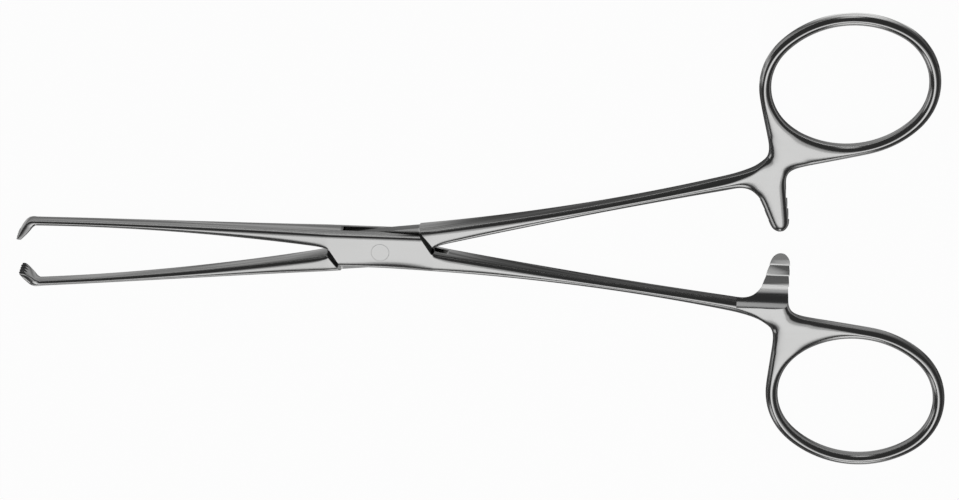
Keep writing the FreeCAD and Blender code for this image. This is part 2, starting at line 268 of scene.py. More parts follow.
def shank_width(x):
    if x <= SHANK_SLIM_AT:
        share = (x - CROTCH) / (SHANK_SLIM_AT - CROTCH)
        return eased(BOX_HALF + BOX_SWELL - SHOULDER_GAP / 2.0, SHANK_SLIM_WIDTH, share, SHANK_TAPER)
    share = (x - SHANK_SLIM_AT) / (SHANK_END - SHANK_SLIM_AT)
    return SHANK_SLIM_WIDTH + (SHANK_END_WIDTH - SHANK_SLIM_WIDTH) * share ** 2


def shank_sides(x):
    centre, slope = shank_place(x)
    if x <= CROTCH:
        slope = 0.0
    across = Vector((math.sin(slope), math.cos(slope))) * (shank_width(x) / 2.0)
    return centre + across, centre - across


def shank_sections():
    """The lower shank, from the box to the neck."""
    rows = []
    for i in range(SHANK_STATIONS + 1):
        share = (i / SHANK_STATIONS) ** SHANK_SPACING
        x = blend_of(CROTCH, SHANK_END, share)
        inner, outer = shank_sides(x)
        half_depth = eased(BOX_DEPTH, NECK_DEPTH, share, SHANK_TAPER) / 2.0
        edge = blend_of(SHANK_EDGE, NECK_EDGE, share ** 3)
        rows.append(section(inner, outer, half_depth, edge, CROWN * min(share * CROWN_RISE, 1.0)))
    return rows


class Path:
    """A line in the plane, kept as close points, that is read by the way along it."""

    def __init__(self):
        self.points = []
        self.ways = []

    def go(self, place):
        if not self.points:
            self.points, self.ways = [place], [0.0]
            return
        start, way = self.points[-1], self.ways[-1]
        length = (place - start).length
        if length < 1e-6:
            return
        steps = math.ceil(length / PATH_STEP)
        for i in range(1, steps + 1):
            self.points.append(start.lerp(place, i / steps))
            self.ways.append(way + length * i / steps)

    def turn(self, heart, start, end, way_round=1.0):
        """An arc about heart from start to end, anticlockwise if way_round is 1."""
        radius = (start - heart).length
        first = math.atan2(start.y - heart.y, start.x - heart.x)
        last = math.atan2(end.y - heart.y, end.x - heart.x)
        swing = (last - first) * way_round % (2.0 * math.pi) * way_round
        steps = max(4, int(abs(swing) * radius / PATH_STEP))
        for i in range(steps + 1):
            self.go(heart + unit(first + swing * i / steps) * radius)

    def corner(self, place, radius, following):
        """A rounded corner at place, on the way to following."""
        before = (self.points[-1] - place).normalized()
        after = (following - place).normalized()
        half = before.angle(after) / 2.0
        reach = radius / math.tan(half)
        heart = place + (before + after).normalized() * (radius / math.sin(half))
        turn_way = 1.0 if before.cross(after) < 0.0 else -1.0
        self.turn(heart, place + before * reach, place + after * reach, turn_way)

    def at(self, way):
        i = max(1, min(len(self.ways) - 1, bisect.bisect_left(self.ways, way)))
        span = self.ways[i] - self.ways[i - 1]
        return self.points[i - 1].lerp(self.points[i], (way - self.ways[i - 1]) / span)

    def way_of(self, place):
        """How far along the path lies closest to place."""
        return min(zip(self.ways, self.points), key=lambda pair: (pair[1] - place).length)[0]

    def stretch(self, start, end, count):
        return [self.at(blend_of(start, end, i / count)) for i in range(count + 1)]

    def around(self, heart, angle, start=0.0, end=ENDLESS):
        """Where the ray from heart at the angle crosses the path between two ways along it."""
        ray = unit(angle)
        open_to = [i for i in range(len(self.points) - 1) if start <= self.ways[i] <= end]
        best = min(open_to, key=lambda i: self.miss(heart, ray, i))
        a, b = self.points[best] - heart, self.points[best + 1] - heart
        share = ray.cross(a) / (ray.cross(a) - ray.cross(b))
        return heart + a.lerp(b, share)

    def miss(self, heart, ray, i):
        a, b = self.points[i] - heart, self.points[i + 1] - heart
        if a.dot(ray) <= 0.0 or ray.cross(a) * ray.cross(b) > 0.0:
            return ENDLESS
        return abs(ray.cross(a)) + abs(ray.cross(b))


class Oval:
    """The ring's oval of four arcs."""

    def __init__(self):
        a, b = RING_LENGTH / 2.0, RING_BREADTH / 2.0
        end = RING_END_RADIUS
        self.side_radius = ((a - end) ** 2 + b * b - end ** 2) / (2.0 * (b - end))
        along = unit(-RING_TURN)
        across = Vector((-along.y, along.x))
        self.near = RING_HEART - along * (a - end)
        self.far = RING_HEART + along * (a - end)
        self.low = RING_HEART + across * (self.side_radius - b)
        self.top = RING_HEART - across * (self.side_radius - b)

    def join(self, side, end, inset=0.0):
        return side + (end - side).normalized() * (self.side_radius - inset)

    def hole(self):
        path = Path()
        near_top = self.join(self.top, self.near, RING_WALL)
        near_low = self.join(self.low, self.near, RING_WALL)
        far_low = self.join(self.low, self.far, RING_WALL)
        far_top = self.join(self.top, self.far, RING_WALL)
        path.turn(self.near, near_top, near_low)
        path.turn(self.low, near_low, far_low)
        path.turn(self.far, far_low, far_top)
        path.turn(self.top, far_top, near_top)
        return path


def tangent_point(heart, radius, outside, side):
    """Where a line from the point outside touches the circle about heart."""
    away = outside - heart
    angle = math.atan2(away.y, away.x) + side * math.acos(radius / away.length)
    return heart + unit(angle) * radius


def handle_outline(oval):
    """Round the neck, ring and bar from the outer side of the shank to its inner side."""
    high, low = shank_sides(SHANK_END)
    slope = shank_place(SHANK_END)[1]
    web_corner = Vector((BAR_FAR_X, WEB_CORNER_Y))
    near_point = tangent_point(oval.near, RING_END_RADIUS, NECK_CORNER, 1)
    top_point = tangent_point(oval.top, oval.side_radius, web_corner, -1)
    bar_root = high + unit(-slope) * ((BAR_FAR_X - BAR_ROOT_WIDTH - high.x) / math.cos(slope))
    tip_far = Vector((BAR_FAR_X + BAR_LEAN, BAR_PASS))
    tip_near = tip_far - Vector((BAR_TIP_WIDTH, 0.0))
    chord = NECK_CORNER - low
    swing = math.atan2(-chord.y, chord.x) - slope
    radius = chord.length / (2.0 * math.sin(swing))
    heart = low - Vector((math.sin(slope), math.cos(slope))) * radius
    path = Path()
    for i in range(BACK_STEPS):
        angle = slope + 2.0 * swing * BACK_SHARE * i / BACK_STEPS
        path.go(heart + Vector((math.sin(angle), math.cos(angle))) * radius)
    path.corner(NECK_CORNER, NECK_CORNER_ROUND, near_point)
    path.turn(oval.near, near_point, oval.join(oval.low, oval.near))
    path.turn(oval.low, oval.join(oval.low, oval.near), oval.join(oval.low, oval.far))
    path.turn(oval.far, oval.join(oval.low, oval.far), oval.join(oval.top, oval.far))
    path.turn(oval.top, oval.join(oval.top, oval.far), top_point)
    path.corner(web_corner, WEB_CORNER_ROUND, tip_far)
    path.corner(tip_far, BAR_TIP_ROUND, tip_near)
    path.corner(tip_near, BAR_TIP_ROUND, bar_root)
    path.corner(bar_root, BAR_ROOT_ROUND, high)
    path.go(high)
    return path, (web_corner, tip_far, tip_near, bar_root)


def block(bm, heart, m1, s1, p, s2, m2):
    """One of the three four-quad blocks round the heart of a fork, with its outer corner at p."""
    heart, m1, s1, p, s2, m2 = (Vector(place) for place in (heart, m1, s1, p, s2, m2))
    inner = s1 + s2 - p
    inner.z = s1.z
    sheet(bm, [[m1, s1, p], [(heart + m1) / 2.0, inner, s2], [heart, (heart + m2) / 2.0, m2]])


def bulge(a, b, heart):
    """How far the middle of a strip's end is pushed out of the fork."""
    return ((a + b) / 2.0 - heart) * FORK_BULGE


def handle_sheets(bm):
    """The neck, the ratchet bar and the finger ring, as strips that meet in two forks."""
    oval = Oval()
    path, (web_corner, tip_far, tip_near, bar_root) = handle_outline(oval)
    hole = oval.hole()
    half = NECK_DEPTH / 2.0

    def cut(a, b, shift, crown=CROWN, edge=NECK_EDGE):
        return section(a, b, half, edge, crown, shift)

    end = path.ways[-1]
    neck_way, web_way, root_way = (path.way_of(place) for place in (NECK_CORNER, web_corner, bar_root))
    near_way, top_way = path.way_of(NEAR_FORK), path.way_of(TOP_FORK)
    root, neck, web = path.at(root_way), path.at(neck_way), path.at(web_way)
    near, top = path.at(near_way), path.at(top_way)
    inside = hole.around(RING_HEART, HOLE_FORK)
    fork1 = (root + neck + web) / 3.0
    fork2 = (near + top + inside) / 3.0

    # The end of the shank, up to the first fork
    shift = bulge(root, neck, fork1)
    inner = path.stretch(end, root_way, STEM_STATIONS)
    outer = path.stretch(0.0, neck_way, STEM_STATIONS)
    rows = [cut(inner[i], outer[i], shift * (i / STEM_STATIONS) ** 2) for i in range(STEM_STATIONS + 1)]
    sheet(bm, rows)
    shank_end = rows[-1]

    # The ratchet bar
    shift = bulge(root, web, fork1)
    near_side = path.stretch(root_way, path.way_of(tip_near + Vector((BAR_TIP_ROUND, 0.0))), BAR_STATIONS)
    far_side = path.stretch(web_way, path.way_of(tip_far - Vector((BAR_TIP_ROUND, 0.0))), BAR_STATIONS)
    rows = []
    for i in range(BAR_STATIONS + 1):
        rows.append(cut(near_side[i], far_side[i], shift * (1.0 - i / BAR_STATIONS) ** 3))
    rows[-1] = [(x, y, rows[-1][0][2]) for x, y, z in rows[-1]]
    sheet(bm, rows)
    bar_start = rows[0]

    # The neck, from the first fork to the second
    shift1, shift2 = bulge(neck, web, fork1), bulge(near, top, fork2)
    near_side = path.stretch(neck_way, near_way, NECK_STATIONS)
    far_side = path.stretch(web_way, top_way, NECK_STATIONS)
    rows = []
    for i in range(NECK_STATIONS + 1):
        share = i / NECK_STATIONS
        rows.append(cut(near_side[i], far_side[i], shift1 * (1.0 - share) ** 2 + shift2 * share ** 2))
    sheet(bm, rows)
    neck_start, neck_end = rows[0], rows[-1]

    heart = (*fork1, half)
    block(bm, heart, shank_end[2], shank_end[1], shank_end[0], bar_start[1], bar_start[2])
    block(bm, heart, shank_end[2], shank_end[3], shank_end[4], neck_start[1], neck_start[2])
    block(bm, heart, bar_start[2], bar_start[3], bar_start[4], neck_start[3], neck_start[2])

    # The finger ring
    first = math.atan2(near.y - RING_HEART.y, near.x - RING_HEART.x)
    last = math.atan2(top.y - RING_HEART.y, top.x - RING_HEART.x) + 2.0 * math.pi
    rows = []
    for i in range(RING_STATIONS + 1):
        share = i / RING_STATIONS
        angle = blend_of(first, last, share)
        start_pull = max(0.0, 1.0 - share * PULL_RANGE) ** 2
        end_pull = max(0.0, 1.0 - (1.0 - share) * PULL_RANGE) ** 2
        hole_angle = angle + (HOLE_FORK - first) * start_pull
        hole_angle += (HOLE_FORK + 2.0 * math.pi - last) * end_pull
        shift = bulge(near, inside, fork2) * start_pull + bulge(top, inside, fork2) * end_pull
        outside = near if i == 0 else top
        if 0 < i < RING_STATIONS:
            outside = path.around(RING_HEART, angle, near_way, top_way)
        pull = max(start_pull, end_pull)
        crown, edge = blend_of(RING_CROWN, CROWN, pull), blend_of(RING_EDGE, NECK_EDGE, pull)
        rows.append(cut(outside, hole.around(RING_HEART, hole_angle), shift, crown, edge))
    sheet(bm, rows)
    ring_start, ring_end = rows[0], rows[-1]

    heart = (*fork2, half)
    block(bm, heart, neck_end[2], neck_end[1], neck_end[0], ring_start[1], ring_start[2])
    block(bm, heart, neck_end[2], neck_end[3], neck_end[4], ring_end[1], ring_end[2])
    block(bm, heart, ring_start[2], ring_start[3], ring_start[4], ring_end[3], ring_end[2])


def raised(place):
    return (place[0], place[1], BOX_DEPTH / 2.0)


def box_rows():
    """The box between the two crotches, with rounded long edges. Its face sinks near the lower edge."""
    rows = []
    for share in BOX_SHARES:
        x = blend_of(-CROTCH, CROTCH, share)
        middle = -SHOULDER_GAP / 2.0 * x / CROTCH
        bottom = -BOX_HALF - BOX_SWELL * max(x, 0.0) / CROTCH
        upper = section(Vector((x, BOX_HALF)), Vector((x, middle)), BOX_DEPTH / 2.0, BOX_EDGE, 0.0)
        lower = section(Vector((x, middle)), Vector((x, bottom)), BOX_DEPTH / 2.0, BOX_EDGE, 0.0)
        sink = BOX_CROWN * math.sin(math.pi * share ** CROWN_SKEW)
        lower[3] = (*lower[3][:2], lower[3][2] - sink)
        rows.append(upper[:3] + [raised(upper[3]), raised(upper[4]), raised(lower[1])] + lower[2:])
    return rows


def half_cage():
    """The smooth half before it is cut, shut, with the upper jaw and the lower ring."""
    bm = bmesh.new()
    rows = arm_sections()
    rows[0] = rows[0][:3] + [raised(rows[0][3]), raised(rows[0][4])]
    sheet(bm, rows)
    sheet(bm, box_rows())
    rows = shank_sections()
    rows[0] = [raised(rows[0][0]), raised(rows[0][1])] + rows[0][2:]
    sheet(bm, rows)
    handle_sheets(bm)
    bmesh.ops.remove_doubles(bm, verts=bm.verts[:], dist=CAGE_MERGE)
    made = bmesh.ops.extrude_face_region(bm, geom=bm.faces[:], use_keep_orig=True)
    under = [item for item in made["geom"] if isinstance(item, bmesh.types.BMVert)]
    bmesh.ops.scale(bm, vec=(1.0, 1.0, -1.0), verts=under)
    bmesh.ops.recalc_face_normals(bm, faces=bm.faces[:])
    crease = bm.edges.layers.float.new("crease_edge")
    for edge in bm.edges:
        if all(is_free_end(vertex.co) for vertex in edge.verts):
            edge[crease] = 1.0
    return bm


def is_free_end(place):
    """Whether the place is on an end of the box where no arm goes on."""
    return abs(abs(place.x) - CROTCH) < 0.001 and place.y * place.x > -0.1 * CROTCH


def prism(points, low, high):
    """A cutter with the outline points in the plane, from low to high."""
    bm = bmesh.new()
    face = bm.faces.new([bm.verts.new((x, y, low)) for x, y in points])
    made = bmesh.ops.extrude_face_region(bm, geom=[face])
    moved = [item for item in made["geom"] if isinstance(item, bmesh.types.BMVert)]
    bmesh.ops.translate(bm, vec=(0.0, 0.0, high - low), verts=moved)
    bmesh.ops.recalc_face_normals(bm, faces=bm.faces[:])
    return bm


def strip_outline(turn, reach_low, reach_high, length=FAR):
    """A strip along the direction turn, between two distances from the pivot."""
    along, across = unit(turn), unit(turn + math.pi / 2.0)
    return [along * -length + across * reach_low, along * length + across * reach_low,
            along * length + across * reach_high, along * -length + across * reach_high]


def corner_outline(turn, reach, edge_y, low_x):
    """The far side of a line along turn at reach from the pivot, as far as a rectangle goes."""
    along, across = unit(turn), unit(turn + math.pi / 2.0)
    start = along * ((low_x - across.x * reach) / along.x) + across * reach
    stop = along * ((edge_y - across.y * reach) / along.y) + across * reach
    return [start, stop, Vector((low_x, edge_y))]


def turned(bm, angle, axis="Z"):
    bmesh.ops.rotate(bm, cent=(0.0, 0.0, 0.0), matrix=Matrix.Rotation(angle, 3, axis), verts=bm.verts[:])
    return bm


def bore_cutter(radius, heads):
    """The hole for the pin, with its two countersinks if heads is true."""
    past = BOX_DEPTH / 2.0 + 0.1
    profile = [(0.0, -past), (radius, -past), (radius, past), (0.0, past)]
    if heads:
        slope = (PIN_HEAD_RADIUS - PIN_RADIUS) / PIN_HEAD_DEPTH
        foot = BOX_DEPTH / 2.0 - PIN_HEAD_DEPTH
        wide = radius + slope * (past - foot)
        profile = [(0.0, -past), (wide, -past), (radius, -foot), (radius, foot), (wide, past), (0.0, past)]
    bm = bmesh.new()
    line = [bm.verts.new((r, 0.0, z)) for r, z in profile]
    edges = [bm.edges.new(pair) for pair in zip(line, line[1:])]
    bmesh.ops.spin(bm, geom=line + edges, axis=(0.0, 0.0, 1.0), cent=(0.0, 0.0, 0.0), steps=64,
                   angle=2.0 * math.pi, use_merge=True)
    bmesh.ops.remove_doubles(bm, verts=bm.verts[:], dist=BORE_MERGE)
    bmesh.ops.recalc_face_normals(bm, faces=bm.faces[:])
    return bm


def comb_cutter(offset):
    """What is cut off the end of the upper jaw tip, with V teeth offset along Z by part of a pitch."""
    crest = -(TOOTH_HEIGHT - TOOTH_GAP) / 2.0
    valley = crest + TOOTH_HEIGHT
    steps = 2 * int(JAW_EDGE_WIDTH / TOOTH_PITCH)
    outline = []
    for i in range(-steps, steps + 1):
        outline.append((-(i / 2.0 + offset) * TOOTH_PITCH, crest if i % 2 == 0 else valley))
    outline += [(outline[-1][0], -FAR), (outline[0][0], -FAR)]
    bm = prism(outline, -COMB_REACH, COMB_REACH)
    turned(bm, math.pi / 2.0, "Y")
    bmesh.ops.translate(bm, vec=(-JAW_REACH, 0.0, 0.0), verts=bm.verts[:])
    return bm


def tip_cutter():
    """The flat end of the bent tip, square to it."""
    outward, onward = unit(math.pi / 2.0 + JAW_BEND), -unit(JAW_BEND)
    foot = Vector((-JAW_REACH, 0.0)) + onward * TIP_PAST
    outline = [foot + outward * BOX_HALF, foot - outward * BOX_HALF]
    outline += [place + onward * BOX_HALF for place in reversed(outline)]
    return prism(outline, -BOX_DEPTH, BOX_DEPTH)


def ratchet_cutter():
    """What is milled off the front of the lower bar: the teeth and the concave run-out of the cutter."""
    crest = -RATCHET_GAP / 2.0
    valley = crest - RATCHET_HEIGHT
    y = BAR_PASS - RATCHET_LAND
    outline = [(-valley - CUTTER_RADIUS, FAR), (-valley, FAR), (-valley, y + RATCHET_PITCH)]
    for i in range(RATCHET_TEETH):
        outline.append((-crest, y + CREST_FLAT / 2.0))
        outline.append((-crest, y - CREST_FLAT / 2.0))
        outline.append((-valley, y - CREST_FLAT / 2.0 - RATCHET_UNDERCUT))
        y -= RATCHET_PITCH
    start = outline[-1][1]
    for i in range(1, RUN_OUT_STEPS + 1):
        angle = math.pi / 2.0 * i / RUN_OUT_STEPS
        rise = CUTTER_RADIUS * (1.0 - math.cos(angle))
        outline.append((-valley - rise, start - CUTTER_RADIUS * math.sin(angle)))
    return across_bar(prism(outline, *bar_run()))


def bar_run():
    return BAR_FAR_X - BAR_ROOT_WIDTH - BAR_ROOT_ROUND, BAR_FAR_X + WEB_CORNER_ROUND


def across_bar(bm):
    """Turns a cutter drawn in the plane so that its Z runs across the bar, along X."""
    return turned(bm, math.pi / 2.0, "Y")


def lock_cutters(is_female):
    """The cuts that make the box lock, in the shut frame."""
    slope = math.atan2(BOX_HALF, CROTCH - SHOULDER)
    shoulder = CROTCH * math.sin(slope)
    past = BOX_DEPTH
    if is_female:
        line = corner_below(-slope, shoulder - CHEEK_GAP)
        first = prism(line, -past, past)
        second = turned(prism(line, -past, past), math.pi)
        slot = prism(strip_outline(SLOT_TURN, -SLOT_REACH, SLOT_REACH), -SLOT_DEPTH / 2.0, SLOT_DEPTH / 2.0)
        return [first, second, slot, bore_cutter(PIN_RADIUS, True)]
    line = corner_outline(SLOT_TURN, SLOT_REACH - SLOT_END_GAP, BOX_HALF + 1.0, -CROTCH - 1.0)
    first = prism(line, -past, past)
    second = turned(prism(line, -past, past), math.pi)
    thin = SLOT_DEPTH / 2.0 - WAIST_GAP
    waist = strip_outline(-slope, -shoulder, shoulder)
    cuts = [first, second, prism(waist, thin, past), prism(waist, -past, -thin)]
    cuts.append(bore_cutter(PIN_RADIUS + PIN_GAP, False))
    for reach in (-shoulder, shoulder):
        cuts += [groove(-slope, reach, side) for side in (-1.0, 1.0)]
    return [turned(bm, math.pi, "X") for bm in cuts]


def groove(turn, reach, side):
    """A V-shaped cutter along the shoulder at reach from the pivot, in the front or the back face."""
    along, across = unit(turn), unit(turn + math.pi / 2.0)
    z, depth = side * BOX_DEPTH / 2.0, side * SHOULDER_GROOVE
    wide, past = 2.0 * SHOULDER_GROOVE, 2.0 * z
    bm = bmesh.new()
    outline = [(reach, z - depth), (reach + wide, z + depth), (reach + wide, past),
               (reach - wide, past), (reach - wide, z + depth)]
    start = along * (-across.y * reach / along.y)
    face = bm.faces.new([bm.verts.new((*(start + across * r), height)) for r, height in outline])
    made = bmesh.ops.extrude_face_region(bm, geom=[face])
    moved = [item for item in made["geom"] if isinstance(item, bmesh.types.BMVert)]
    bmesh.ops.translate(bm, vec=(*(along * math.copysign(CROTCH, -reach)), 0.0), verts=moved)
    bmesh.ops.recalc_face_normals(bm, faces=bm.faces[:])
    return bm


def corner_below(turn, reach):
    """The free lower left corner of the box of the female half, outside its shoulder line."""
    along, across = unit(turn), unit(turn + math.pi / 2.0)
    top_y = SHOULDER_GAP / 3.0
    low_y = -BOX_HALF - 1.0
    start = along * ((top_y + across.y * reach) / along.y) - across * reach
    stop = along * ((low_y + across.y * reach) / along.y) - across * reach
    return [start, stop, Vector((-CROTCH - 1.0, low_y)), Vector((-CROTCH - 1.0, top_y))]


def mesh_object(name, bm):
    mesh = bpy.data.meshes.new(name)
    bm.to_mesh(mesh)
    bm.free()
    obj = bpy.data.objects.new(name, mesh)
    bpy.context.scene.collection.objects.link(obj)
    return obj


def forged_half(name, is_female):
    """A whole half at its place at rest: smoothed, cut and turned about the pivot."""
    raw = mesh_object(name + "_raw", half_cage())
    smoothing = raw.modifiers.new("smoothing", "SUBSURF")
    smoothing.levels = smoothing.render_levels = SMOOTH_LEVELS
    cuts = [tip_cutter(), comb_cutter(0.0 if is_female else 0.5), ratchet_cutter()]
    cuts += lock_cutters(is_female)
    cutters = [mesh_object(name + "_cutter", bm) for bm in cuts]
    for cutter in cutters:
        cut = raw.modifiers.new("cut", "BOOLEAN")
        cut.operation = "DIFFERENCE"
        cut.solver = "EXACT"
        cut.object = cutter
    graph = bpy.context.evaluated_depsgraph_get()
    mesh = bpy.data.meshes.new_from_object(raw.evaluated_get(graph))
    for obj in cutters + [raw]:
        bpy.data.objects.remove(obj)
    place = Matrix.Rotation(OPEN_AT_REST / (-2.0 if is_female else 2.0), 4, "Z")
    if not is_female:
        place = place @ Matrix.Rotation(math.pi, 4, "X")
    mesh.transform(Matrix.Scale(MM, 4) @ Matrix.Translation((0.0, 0.0, MID_Z)) @ place)
    mesh.name = name
    for polygon in mesh.polygons:
        polygon.use_smooth = True
    mesh.set_sharp_from_angle(angle=SHARP_ANGLE)
    half = bpy.data.objects.new(name, mesh)
    bpy.context.scene.collection.objects.link(half)
    return half


class FinishSettings(bpy.types.PropertyGroup):
    """How the steel is polished."""

    steel: bpy.props.FloatVectorProperty(
        name="Steel", description="Colour of the polished steel", subtype="COLOR",
        default=(0.66, 0.66, 0.655), min=0.0, max=1.0)
    roughness: bpy.props.FloatProperty(
        name="Roughness", description="Roughness of the clean polished faces",
        default=0.16, min=0.0, max=1.0)
    edge_round: bpy.props.FloatProperty(
        name="Edge rounding", description="Width over which the polish has softened the sharp edges",
        unit="LENGTH", default=0.00006, min=0.0)


class StageSettings(bpy.types.PropertyGroup):
    """The floor, the lamps and the camera."""

    target: bpy.props.FloatVectorProperty(
        name="Target", description="Point that the camera looks at", subtype="XYZ", unit="LENGTH",
        default=(0.01645, -0.00073, 0.0025))
    distance: bpy.props.FloatProperty(
        name="Distance", description="From the camera to the target", unit="LENGTH", default=1.1)
    tilt: bpy.props.FloatProperty(
        name="Tilt", description="Lean of the camera from straight above, towards +Y",
        subtype="ANGLE", default=math.radians(22.0))
    yaw: bpy.props.FloatProperty(
        name="Yaw", description="Lean of the camera towards +X", subtype="ANGLE",
        default=math.radians(3.8))
    roll: bpy.props.FloatProperty(
        name="Roll", description="Turn of the camera about its own axis", subtype="ANGLE",
        default=math.radians(0.67))
    focal: bpy.props.FloatProperty(
        name="Focal length", description="Focal length as a multiple of the image's width",
        default=6590.0 / PHOTO_WIDTH)
    floor_colour: bpy.props.FloatVectorProperty(
        name="Floor", description="Colour of the floor", subtype="COLOR",
        default=(0.86, 0.86, 0.86), min=0.0, max=1.0)
    floor_glow: bpy.props.FloatProperty(
        name="Floor glow", description="Share of plain white that the camera sees on the floor",
        default=0.97, min=0.0, max=1.0)
    mirrored_jaws: bpy.props.FloatProperty(
        name="Mirrored at the jaws", description="Brightness of the floor that metal mirrors at the jaws",
        default=0.24, min=0.0, max=1.0)
    mirrored_shanks: bpy.props.FloatProperty(
        name="Mirrored at the shanks", description="Least brightness of the floor that metal mirrors",
        default=0.09, min=0.0, max=1.0)
    mirrored_rings: bpy.props.FloatProperty(
        name="Mirrored at the rings", description="Brightness of the floor that metal mirrors mid-ring",
        default=0.2, min=0.0, max=1.0)
    mirrored_tops: bpy.props.FloatProperty(
        name="Mirrored above the rings", description="Brightness added behind the upper ring",
        default=0.6, min=0.0, max=1.0)
    surround: bpy.props.FloatProperty(
        name="Surround", description="Brightness of the room around the stage", default=0.035)
    overhead_power: bpy.props.FloatProperty(
        name="Overhead lamp", description="Power of the soft lamp overhead", default=0.8)
    overhead_level: bpy.props.FloatProperty(
        name="Overhead sail", description="Brightness of the middle of the sail overhead", default=0.5)
    back_level: bpy.props.FloatProperty(
        name="Back card", description="Brightness of the middle of the card behind", default=0.6)
    front_level: bpy.props.FloatProperty(
        name="Front card", description="Brightness of the middle of the card in front", default=0.9)
    side_level: bpy.props.FloatProperty(
        name="Side cards", description="Brightness of the middle of the cards beyond the jaws", default=0.6)


class Socket:
    """An output socket with arithmetic, so that masks are written as expressions."""

    def __init__(self, nodes, socket):
        self.nodes = nodes
        self.socket = socket

    def maths(self, operation, *others):
        values = {i + 1: other for i, other in enumerate(others)}
        return self.nodes.add("ShaderNodeMath", {"operation": operation}, {0: self, **values})

    def __add__(self, other):
        return self.maths("ADD", other)

    def __radd__(self, other):
        return self.maths("ADD", other)

    def __sub__(self, other):
        return self.maths("SUBTRACT", other)

    def __rsub__(self, other):
        return self.nodes.add("ShaderNodeMath", {"operation": "SUBTRACT"}, {0: other, 1: self})

    def __mul__(self, other):
        return self.maths("MULTIPLY", other)

    def __rmul__(self, other):
        return self.maths("MULTIPLY", other)

    def larger(self, other):
        return self.maths("MAXIMUM", other)

    def size(self):
        """Its value without the sign."""
        return self.maths("ABSOLUTE")

    def step(self, start, end):
        """0 below start, 1 above end, and smooth in between."""
        return self.nodes.add("ShaderNodeMapRange", {"interpolation_type": "SMOOTHSTEP"},
                              {"Value": self, "From Min": start, "From Max": end})


class Nodes:
    """The node tree of one material or of the world."""

    def __init__(self, owner):
        owner.use_nodes = True
        self.tree = owner.node_tree
        self.tree.nodes.clear()

    def add(self, kind, settings=None, inputs=None, output=0):
        node = self.tree.nodes.new(kind)
        for name, value in (settings or {}).items():
            setattr(node, name, value)
        for name, value in (inputs or {}).items():
            if isinstance(value, Socket):
                self.tree.links.new(value.socket, node.inputs[name])
            else:
                node.inputs[name].default_value = value
        return Socket(self, node.outputs[output]) if node.outputs else node

    def place(self, scale=(1.0, 1.0, 1.0), turn=(0.0, 0.0, 0.0)):
        """Object coordinates, turned and scaled."""
        coordinates = self.add("ShaderNodeTexCoord", output="Object")
        return self.add("ShaderNodeMapping", {}, {"Vector": coordinates, "Rotation": turn, "Scale": scale})

    def split(self, vector, count):
        """The first count of a vector's X, Y and Z."""
        return [self.add("ShaderNodeSeparateXYZ", {}, {"Vector": vector}, output=i) for i in range(count)]

    def noise(self, vector, scale, detail=2.0, roughness=0.5, distortion=0.0):
        return self.add("ShaderNodeTexNoise", {}, {
            "Vector": vector, "Scale": scale, "Detail": detail, "Roughness": roughness,
            "Distortion": distortion})


def painted_lock_shade(nodes, vector):
    """How much painted shade darkens the inner faces of the lock and its waist, where the halves shade each
    other: 0 on the outside of the halves.
    """
    x, y, z = nodes.split(vector, 3)
    depth = (z - MID_Z * MM).size()
    across = 1.0 - y.size().step(*INNER_FADE_Y)
    inner = across * (1.0 - x.size().step(*INNER_FADE_X)) * (1.0 - depth.step(*INNER_FADE_Z)) * INNER_PAINTED_SHADE
    waist = (1.0 - x.size().step(*WAIST_FADE_X)) * (1.0 - depth.step(*WAIST_FADE_Z)) * WAIST_PAINTED_SHADE
    return inner.larger(waist)


def polished_steel(name, turn):
    """Hand-polished stainless steel: hairlines along the arms, faint cloudiness and tiny pits, with painted
    shade in the lock.
    """
    look = bpy.context.scene.forceps_finish
    material = bpy.data.materials.new(name)
    nodes = Nodes(material)
    along = nodes.place(scale=(60.0, 1400.0, 1400.0), turn=(0.0, 0.0, -turn))
    hairlines = nodes.noise(along, 1.0, detail=3.0, roughness=0.6)
    everywhere = nodes.place()
    clouds = nodes.noise(everywhere, 160.0, detail=3.0)
    wipes = nodes.noise(everywhere, 45.0, detail=2.0, distortion=0.6)
    grain = nodes.noise(everywhere, 5200.0, detail=1.0)
    pits = nodes.noise(everywhere, 2600.0, detail=0.0).step(0.76, 0.84)
    waves = nodes.noise(nodes.place(scale=(25.0, 420.0, 420.0), turn=(0.0, 0.0, -turn)), 1.0, detail=1.0)
    # The tone is random cloudiness, darkened by painted shade on the lock's inner faces and its waist
    tone_and_painted_shade = (0.94 + clouds * 0.06 + wipes * 0.04) * (1.0 - painted_lock_shade(nodes, everywhere))
    colour = nodes.add("ShaderNodeMix", {"data_type": "RGBA", "blend_type": "MIX"}, {
        0: tone_and_painted_shade, 6: (0.0, 0.0, 0.0, 1.0), 7: (*look.steel, 1.0)}, output=2)
    rough = look.roughness + (wipes - 0.5) * 0.08 + (hairlines - 0.5) * 0.10
    height = waves * 3.0 + hairlines * 0.5 + grain * 0.25 - pits * 0.3
    bevel = nodes.add("ShaderNodeBevel", {"samples": 6}, {"Radius": look.edge_round})
    relief = nodes.add("ShaderNodeBump", {}, {
        "Strength": 0.10, "Distance": 0.00002, "Height": height, "Normal": bevel})
    shader = nodes.add("ShaderNodeBsdfPrincipled", {}, {
        "Base Color": colour, "Roughness": rough, "Metallic": 1.0, "Normal": relief})
    nodes.add("ShaderNodeOutputMaterial", {}, {"Surface": shader})
    return material


def set_material(obj, material):
    obj.data.materials.clear()
    obj.data.materials.append(material)


class FORCEPS_OT_finish_halves(bpy.types.Operator):
    """Give the two forged halves their polished steel"""

    bl_idname = "forceps.finish_halves"
    bl_label = "Finish the halves"

    def execute(self, context):
        for body, turn in (("female", -3.0), ("male", 3.0)):
            node = body + "_half"
            half = forged_half(body + "_forging", body == "female")
            set_material(half, polished_steel("steel_" + node, math.radians(turn)))
            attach(half, body)
            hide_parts(node)
        return {"FINISHED"}


